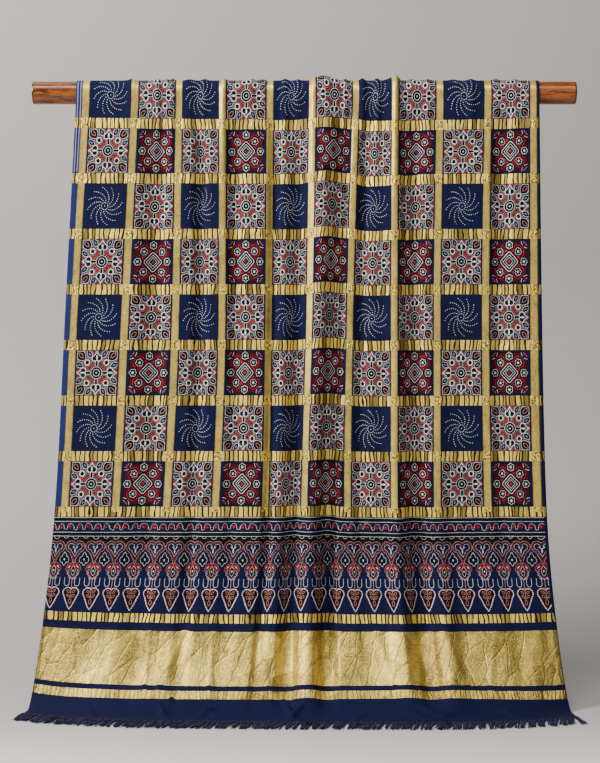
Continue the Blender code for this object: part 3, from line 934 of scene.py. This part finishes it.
def twisted_strand(settings):
    """Plies wound around each other, lying along X."""
    bm = bmesh.new()
    length, radius = settings.length, settings.thickness / 4
    steps = settings.strand_steps
    for ply in range(PLIES):
        rings = []
        for step in range(steps + 1):
            along = step / steps
            turn = 2 * math.pi * (settings.twists * along + ply / PLIES)
            bow = settings.bow * math.sin(math.pi * along * 1.6)
            taper = 1.0 - 0.45 * along**6
            middle = (length * along, radius * math.cos(turn) + bow, radius * math.sin(turn))
            ring = []
            for side in range(PLY_SIDES):
                around = 2 * math.pi * side / PLY_SIDES
                y = middle[1] + radius * 1.1 * taper * math.cos(around)
                z = middle[2] + radius * 1.1 * taper * math.sin(around)
                ring.append(bm.verts.new((middle[0], y, z)))
            rings.append(ring)
        for near, far in zip(rings, rings[1:]):
            for side in range(PLY_SIDES):
                after = (side + 1) % PLY_SIDES
                bm.faces.new([near[side], near[after], far[after], far[side]])
        bm.faces.new(reversed(rings[0]))
        bm.faces.new(rings[-1])
    bmesh.ops.recalc_face_normals(bm, faces=bm.faces)
    mesh = bpy.data.meshes.new("strand")
    bm.to_mesh(mesh)
    bm.free()
    mesh.shade_smooth()
    return show("strand", mesh)


HEM_POINTS = 101
FLARED_STRANDS = 14  # at the right end of a hem


class FringeTree(Tree):
    """Geometry nodes that set strands along a hem, drawn together in locks."""

    INPUTS = (
        ("Hem", "NodeSocketGeometry", None),
        ("Strands", "NodeSocketInt", 100),
        ("Strands in a lock", "NodeSocketInt", 5),
        ("Strand", "NodeSocketObject", None),
        ("Direction", "NodeSocketRotation", None),
        ("Closing", "NodeSocketFloat", 0.03),
        ("Slant", "NodeSocketFloat", 0.0),
        ("Flare", "NodeSocketFloat", 0.0),
        ("Lean", "NodeSocketFloat", 0.06),
        ("Loose", "NodeSocketFloat", 0.03),
        ("Shortest", "NodeSocketFloat", 0.8),
        ("Yarn", "NodeSocketMaterial", None),
        ("Seed", "NodeSocketInt", 0),
    )

    def __init__(self):
        super().__init__(bpy.data.node_groups.new("fringe_along_a_hem", "GeometryNodeTree"))
        self.sockets = {}
        for name, kind, default in self.INPUTS:
            socket = self.tree.interface.new_socket(name, in_out="INPUT", socket_type=kind)
            if default is not None:
                socket.default_value = default
            self.sockets[name] = socket.identifier
        self.tree.interface.new_socket("Fringe", in_out="OUTPUT", socket_type="NodeSocketGeometry")
        self.build({output.name: Value(self, output) for output in self.tree.nodes.new("NodeGroupInput").outputs})

    def drawn(self, low, high, number, seed):
        """A random number between low and high, the same for everything with one number."""
        sockets = {2: low, 3: high, "ID": number, "Seed": seed}
        return Value(self, self.add("FunctionNodeRandomValue", {"data_type": "FLOAT"}, sockets).outputs[1])

    def build(self, given):
        strands, in_lock, seed = given["Strands"], given["Strands in a lock"], given["Seed"]
        hem = self.add("GeometryNodeResampleCurve", {"mode": "COUNT"}, {"Curve": given["Hem"], "Count": strands})
        strand = self.add("GeometryNodeObjectInfo", None, {"Object": given["Strand"]})
        index = Value(self, self.add("GeometryNodeInputIndex").outputs[0])

        lock = math.floor(index / in_lock)
        from_middle = index - lock * in_lock - (in_lock - 1.0) * 0.5
        lean = self.drawn(given["Lean"] * -1.0, given["Lean"], lock, seed)
        loose = self.drawn(given["Loose"] * -1.0, given["Loose"], index, seed + 1.0)
        flare = given["Flare"] * most(1.0 - (strands - index) / FLARED_STRANDS, 0.0)
        turn = lean + loose + given["Slant"] + flare - from_middle * given["Closing"]
        roll = self.drawn(0.0, 2 * math.pi, index, seed + 2.0)
        length = self.drawn(given["Shortest"], 1.0, index, seed + 3.0)

        placed = self.add(
            "GeometryNodeInstanceOnPoints",
            None,
            {
                "Points": hem.outputs["Curve"],
                "Instance": strand.outputs["Geometry"],
                "Rotation": given["Direction"],
                "Scale": self.place(length, 1.0, 1.0),
            },
        ).outputs["Instances"]
        for rotation in (self.place(0.0, 0.0, turn), self.place(roll, 0.0, 0.0)):
            inputs = {"Instances": placed, "Rotation": rotation}
            placed = self.add("GeometryNodeRotateInstances", None, inputs).outputs["Instances"]
        real = self.add("GeometryNodeRealizeInstances", None, {"Geometry": placed})
        inputs = {"Geometry": real.outputs["Geometry"], "Material": given["Yarn"]}
        finished = self.add("GeometryNodeSetMaterial", None, inputs)
        self.add("NodeGroupOutput", None, {"Fringe": finished.outputs["Geometry"]})


def hem_curve(name, points):
    """A curve along a hem, for the fringe to be set on."""
    data = bpy.data.curves.new(name, "CURVE")
    data.dimensions = "3D"
    spline = data.splines.new("POLY")
    spline.points.add(len(points) - 1)
    for place, point in zip(spline.points, points):
        place.co = (*point, 1.0)
    return show(name, data)


def fringe(name, fringe_tree, hem, values, finish):
    """The strands along one hem, as a plain mesh."""
    curve = hem_curve(f"{name}_hem", hem)
    modifier = curve.modifiers.new("fringe", "NODES")
    modifier.node_group = fringe_tree.tree
    for socket, value in values.items():
        modifier[fringe_tree.sockets[socket]] = value
    evaluated = curve.evaluated_get(bpy.context.evaluated_depsgraph_get())
    mesh = bpy.data.meshes.new_from_object(evaluated)
    mesh.name = name
    bpy.data.objects.remove(curve, do_unlink=True)
    mesh.materials.clear()
    mesh.materials.append(finish)
    return show(name, mesh)


# The rod


def lacquered_wood(settings):
    """Glossy orange-brown wood with dark grain that runs along X."""
    graph = Graph("lacquered_wood")
    place = graph.add("ShaderNodeTexCoord").outputs["Object"]
    x, y, z = graph.parts(place)
    drift = graph.noise(graph.place(x * 16.0, y * 30.0, z * 30.0), 1.0, 3.0) - 0.5
    sway = drift * 0.016
    grain = graph.noise(graph.place(x * 14.0, (y + sway) * 260.0, (z + sway) * 260.0), 1.0, 3.0, 0.6)
    broad = graph.noise(graph.place(x * 5.0, (y + sway) * 90.0, (z + sway) * 90.0), 1.0, 2.0)
    pores = graph.noise(graph.place(x * 60.0, y * 1400.0, z * 1400.0), 1.0, 2.0)
    tone = graph.ramp(broad, 0.38, 0.60, 0.40, 1.0) * graph.ramp(grain, 0.36, 0.54, 0.15, 1.0)
    # Painted shade: the wood is painted darker near its cut ends, for the dark rims where the rounded ends turn
    # away from the light.
    tone = tone * graph.ramp(ROD_LENGTH / 2 - abs(x), 0.0012, 0.0050, 0.10, 1.0)
    colour = graph.mix(tone, settings.dark, settings.light)
    colour = graph.mix(graph.ramp(pores, 0.60, 0.72, 0.0, 0.45), colour, settings.dark)
    return graph.finish(
        base_color=colour,
        roughness=0.34 + 0.2 * (grain - 0.5),
        metallic=0.0,
        specular_ior_level=0.05,
        coat_weight=0.85,
        coat_ior=1.5,
        coat_roughness=0.22,
        normal=graph.bump(grain, 0.25, 0.0006),
    )


# The studio


def backdrop_material(settings):
    """Matt painted board, pale grey. The floor is painted lighter in front of the cloth, as painted light falloff."""
    graph = Graph("backdrop")
    place = graph.add("ShaderNodeTexCoord").outputs["Object"]
    tone = graph.noise(place, 1.3, 2.0)
    _, back, _ = graph.parts(place)
    # Painted light falloff: the floor colour in front of the cloth fades to the darker wall colour under and behind
    # it.
    ground = graph.mix(graph.ramp(back, -0.65, -0.05), settings.floor, settings.wall)
    shadow = graph.mix(0.97, (0.0, 0.0, 0.0), ground)
    colour = graph.mix(tone, shadow, ground)
    grain = graph.noise(place, 400.0, 2.0)
    return graph.finish(base_color=colour, roughness=0.9 + 0.05 * (tone - 0.5), normal=graph.bump(grain, 0.1, 0.0002))


def backdrop_mesh(settings):
    """A floor that bends up into a wall."""
    bend = np.linspace(0.0, math.pi / 2, 40)
    radius = settings.bend
    start = settings.bend_start
    ahead = [settings.front, *(start + radius * np.sin(bend)), start + radius]
    height = [FLOOR, *(FLOOR + radius * (1.0 - np.cos(bend))), settings.top]
    points = [(x, y, z) for y, z in zip(ahead, height) for x in (-settings.half_width, settings.half_width)]
    faces = [(row * 2, row * 2 + 1, row * 2 + 3, row * 2 + 2) for row in range(len(ahead) - 1)]
    mesh = bpy.data.meshes.new("backdrop")
    mesh.from_pydata(points, [], faces)
    mesh.shade_smooth()
    return mesh


def add_area_light(name, place, target, size, power, colour):
    """An area light aimed at target. Its size is its width and its height."""
    light = bpy.data.lights.new(name, "AREA")
    light.shape = "ELLIPSE"
    light.size, light.size_y = size
    light.energy = power
    light.color = colour
    lamp = show(name, light)
    lamp.location = place
    aim = (Matrix.Translation(target).translation - lamp.location).to_track_quat("-Z", "Y")
    lamp.rotation_euler = aim.to_euler()


# Settings


def kind_of_setting(make, **fixed):
    """A function that makes settings of one kind from a name, a description and a default."""
    return lambda name, description, default: make(name=name, description=description, default=default, **fixed)


colour_setting = kind_of_setting(bpy.props.FloatVectorProperty, subtype="COLOR", size=3, min=0.0, max=1.0)
length_setting = kind_of_setting(bpy.props.FloatProperty, unit="LENGTH", subtype="DISTANCE", precision=4)
lens_setting = kind_of_setting(bpy.props.FloatProperty, unit="CAMERA", subtype="DISTANCE_CAMERA")
count_setting = kind_of_setting(bpy.props.IntProperty, min=1)
share_setting = kind_of_setting(bpy.props.FloatProperty, subtype="FACTOR")
power_setting = kind_of_setting(bpy.props.FloatProperty, unit="POWER")


class ClothSettings(bpy.types.PropertyGroup):
    thickness: length_setting("Thickness", "Thickness of the woven sheet", 0.0008)
    columns: count_setting("Columns", "Faces across the sheet", 300)
    front_step: length_setting("Front rows", "Length of a face down the front", 0.0120)
    hem_step: length_setting("Hem rows", "Length of a face near the hem and over the rod", 0.0050)
    back_step: length_setting("Back rows", "Length of a face down the back", 0.0280)
    navy: colour_setting("Navy", "Ground of the cloth", linear(9, 13, 50))
    black: colour_setting("Black", "Black print", linear(7, 7, 11))
    deep_red: colour_setting("Deep red", "Red grounds", linear(70, 3, 16))
    bright_red: colour_setting("Bright red", "Red lines and petals", linear(176, 24, 36))
    white: colour_setting("White", "White outlines and dots", linear(222, 222, 216))
    pink: colour_setting("Pink", "Thin outlines between red and white", linear(196, 132, 122))
    blue: colour_setting("Grey blue", "Small blue marks", linear(96, 120, 160))
    selvedge: colour_setting("Selvedge", "Left edge of the cloth", linear(30, 40, 90))
    selvedge_line: colour_setting("Selvedge line", "Pale lines in the left edge", linear(170, 160, 176))
    gold_light: colour_setting("Gold", "Gold threads that catch the light", linear(255, 223, 114))
    # Painted light and shade of the gold: its threads are painted between this shaded gold and the lit gold above.
    gold_dark: colour_setting("Dark gold", "Gold threads in the creases", linear(56, 39, 14))


class FringeSettings(bpy.types.PropertyGroup):
    front_strands: count_setting("Front strands", "Strands along the front hem", 560)
    back_strands: count_setting("Back strands", "Strands along the back hem", 400)
    in_lock: count_setting("In a lock", "Strands that are drawn together", 5)
    length: length_setting("Length", "Length of the longest strand", 0.060)
    thickness: length_setting("Thickness", "Thickness of a twisted strand", 0.0034)
    twists: count_setting("Twists", "Turns of a strand's two plies", 3)
    strand_steps: count_setting("Steps", "Faces along a strand", 9)
    closing: share_setting("Closing", "Turn of a strand towards its lock, in radians", 0.011)
    slant: share_setting("Slant", "Turn of all the front strands, in radians", -0.17)
    flare: share_setting("Flare", "Turn outwards of the last front strand, in radians", 0.25)
    lean: share_setting("Lean", "Largest turn of a lock, in radians", 0.09)
    loose: share_setting("Loose", "Largest turn of one strand within its lock, in radians", 0.09)
    bow: length_setting("Bow", "How far a strand bows to the side", 0.0012)
    seed: count_setting("Seed", "Seed of the strands' spread", 7)
    light: colour_setting("Yarn", "Yarn in the light", linear(14, 22, 80))
    dark: colour_setting("Dark yarn", "Yarn in the shade", linear(5, 7, 26))


class RodSettings(bpy.types.PropertyGroup):
    light: colour_setting("Wood", "Light wood between the grain", linear(154, 80, 22))
    dark: colour_setting("Grain", "Dark grain", linear(40, 17, 5))


class StageSettings(bpy.types.PropertyGroup):
    # The floor colour is the floor painted as lit, in front of the cloth; the darker wall colour is also painted on
    # the floor under and behind the cloth as painted shade.
    wall: colour_setting("Wall", "Colour of the wall", (0.403, 0.383, 0.369))
    floor: colour_setting("Floor", "Colour of the floor", (0.750, 0.717, 0.693))
    half_width: length_setting("Half width", "Half the width of the backdrop", 5.0)
    front: length_setting("Front", "Where the floor starts", -3.4)
    bend_start: length_setting("Bend start", "Where the floor starts to bend up", 0.30)
    bend: length_setting("Bend", "Radius of the bend", 0.90)
    top: length_setting("Top", "Top of the wall", 2.6)
    camera_x: length_setting("Camera across", "Place of the camera along the rod", -0.0079)
    camera_y: length_setting("Camera back", "Place of the camera before the cloth", -3.0)
    camera_z: length_setting("Camera height", "Height of the camera from the rod's axis", -0.5208)
    lens: lens_setting("Lens", "Focal length of the camera", 78.42)
    key_power: power_setting("Key", "Power of the key light", 225.0)
    fill_power: power_setting("Fill", "Power of the fill", 6.0)
    wall_power: power_setting("Wall light", "Power on the wall", 6.0)
    overhead_power: power_setting("Overhead", "Power of the light above the front", 85.0)
    sky: share_setting("Sky", "Strength of the even light from all round", 0.11)


# Operators


class CLOTH_OT_add_cloth(bpy.types.Operator):
    """Adds the printed cloth, draped over the rod"""

    bl_idname = "ajrakh.add_cloth"
    bl_label = "Add cloth"

    def execute(self, context):
        settings = context.scene.ajrakh_cloth
        across = np.linspace(0.0, CLOTH_WIDTH, settings.columns + 1)
        down = row_places(settings)
        points = cloth_points(across, down)
        cloth = show("cloth_sheet", grid_mesh("cloth_sheet", points, across, down))
        thicken = cloth.modifiers.new("thickness", "SOLIDIFY")
        thicken.thickness = settings.thickness
        thicken.offset = 0.0
        cloth.data.materials.append(printed_cloth(settings))
        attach(cloth, "root")
        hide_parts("cloth")
        return {"FINISHED"}


class CLOTH_OT_add_fringes(bpy.types.Operator):
    """Adds the twisted strands at both hems"""

    bl_idname = "ajrakh.add_fringes"
    bl_label = "Add fringes"

    def execute(self, context):
        settings = context.scene.ajrakh_fringe
        cloth = bpy.data.objects.get("cloth_sheet")
        if cloth is None:
            raise RuntimeError("Add the cloth first, because the fringes follow its hems")
        across = np.linspace(0.0, CLOTH_WIDTH, HEM_POINTS)
        hems = cloth_points(across, np.array([FRONT_LENGTH, -BACK_LENGTH]))
        front, back = hems[0].copy(), hems[1]
        front[:, 2] = FLOOR + settings.thickness / 2 + 0.0002
        strand = twisted_strand(settings)
        tree = FringeTree()
        yarn = yarn_material(settings)
        ahead = Matrix(((0, 1, 0), (-1, 0, 0), (0, 0, 1))).to_euler()
        downward = Matrix(((0, 1, 0), (0, 0, -1), (-1, 0, 0))).to_euler()
        made = []
        shared = {name: getattr(settings, name.lower()) for name in ("Seed", "Closing", "Lean", "Loose")}
        shared |= {"Strands in a lock": settings.in_lock, "Strand": strand, "Yarn": yarn}
        for name, hem, count, direction, slant, flare in (
            ("fringe_at_front", front, settings.front_strands, ahead, settings.slant, settings.flare),
            ("fringe_at_back", back, settings.back_strands, downward, 0.0, 0.0),
        ):
            values = shared | {"Strands": count, "Direction": direction, "Slant": slant, "Flare": flare}
            made.append(fringe(name, tree, hem, values, yarn))
        bpy.data.objects.remove(strand, do_unlink=True)
        for piece, node in zip(made, ("fringe_front", "fringe_back")):
            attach(piece, "root")
            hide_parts(node)
        return {"FINISHED"}


class CLOTH_OT_finish_rod(bpy.types.Operator):
    """Gives the rod its lacquered wood"""

    bl_idname = "ajrakh.finish_rod"
    bl_label = "Finish rod"

    def execute(self, context):
        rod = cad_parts["rod"]
        wood = lacquered_wood(context.scene.ajrakh_rod)
        for slot in rod.material_slots:
            slot.material = wood
        return {"FINISHED"}


class CLOTH_OT_add_stage(bpy.types.Operator):
    """Adds the backdrop, the lights and the camera"""

    bl_idname = "ajrakh.add_stage"
    bl_label = "Add stage"

    def execute(self, context):
        settings = context.scene.ajrakh_stage
        backdrop = show("backdrop", backdrop_mesh(settings))
        backdrop.data.materials.append(backdrop_material(settings))

        world = bpy.data.worlds.new("studio")
        world.use_nodes = True
        sky = world.node_tree.nodes["Background"]
        sky.inputs["Color"].default_value = (1.0, 0.99, 0.98, 1.0)
        sky.inputs["Strength"].default_value = settings.sky
        context.scene.world = world
        middle, ahead = (0.0, 0.0, -0.55), (0.0, -0.7, FLOOR)
        wall = (0.0, settings.bend_start + settings.bend, -0.5)
        for name, place, target, size, power, colour in (
            ("key_light", (-3.0, -1.5, 1.3), middle, (1.2, 1.2), settings.key_power, (1.0, 0.985, 0.965)),
            ("fill_light", (1.2, -3.2, 0.8), middle, (2.0, 2.0), settings.fill_power, (0.97, 0.98, 1.0)),
            ("overhead_light", (-0.2, -1.78, 2.1), ahead, (2.6, 1.0), settings.overhead_power, (1.0, 1.0, 1.0)),
            ("wall_light", (-0.5, 0.35, 1.5), wall, (1.2, 1.2), settings.wall_power, (1.0, 0.99, 0.98)),
        ):
            add_area_light(name, place, target, size, power, colour)

        data = bpy.data.cameras.new("camera")
        data.lens = settings.lens
        data.sensor_width = 36.0
        camera = show("camera", data)
        camera.location = (settings.camera_x, settings.camera_y, settings.camera_z)
        camera.rotation_euler = (math.pi / 2, 0.0, 0.0)
        context.scene.camera = camera
        return {"FINISHED"}


class CLOTH_PT_panel(bpy.types.Panel):
    """Lists the steps that build the cloth"""

    bl_label = "Ajrakh cloth"
    bl_idname = "CLOTH_PT_panel"
    bl_space_type = "VIEW_3D"
    bl_region_type = "UI"
    bl_category = "Cloth"

    def draw(self, context):
        for operator, settings in STEPS:
            box = self.layout.box()
            box.operator(operator.bl_idname)
            group = getattr(context.scene, settings)
            for name in group.bl_rna.properties.keys():
                if name not in ("rna_type", "name"):
                    box.prop(group, name)


GROUPS = {
    "ajrakh_cloth": ClothSettings,
    "ajrakh_fringe": FringeSettings,
    "ajrakh_rod": RodSettings,
    "ajrakh_stage": StageSettings,
}
STEPS = (
    (CLOTH_OT_add_cloth, "ajrakh_cloth"),
    (CLOTH_OT_add_fringes, "ajrakh_fringe"),
    (CLOTH_OT_finish_rod, "ajrakh_rod"),
    (CLOTH_OT_add_stage, "ajrakh_stage"),
)


def register():
    for name, group in GROUPS.items():
        bpy.utils.register_class(group)
        setattr(bpy.types.Scene, name, bpy.props.PointerProperty(type=group))
    for operator, _ in STEPS:
        bpy.utils.register_class(operator)
    bpy.utils.register_class(CLOTH_PT_panel)


def unregister():
    bpy.utils.unregister_class(CLOTH_PT_panel)
    for operator, _ in reversed(STEPS):
        bpy.utils.unregister_class(operator)
    for name, group in reversed(GROUPS.items()):
        delattr(bpy.types.Scene, name)
        bpy.utils.unregister_class(group)


def main():
    register()
    bpy.ops.ajrakh.add_cloth()
    bpy.ops.ajrakh.add_fringes()
    bpy.ops.ajrakh.finish_rod()
    bpy.ops.ajrakh.add_stage()


if __name__ == "__main__":
    main()
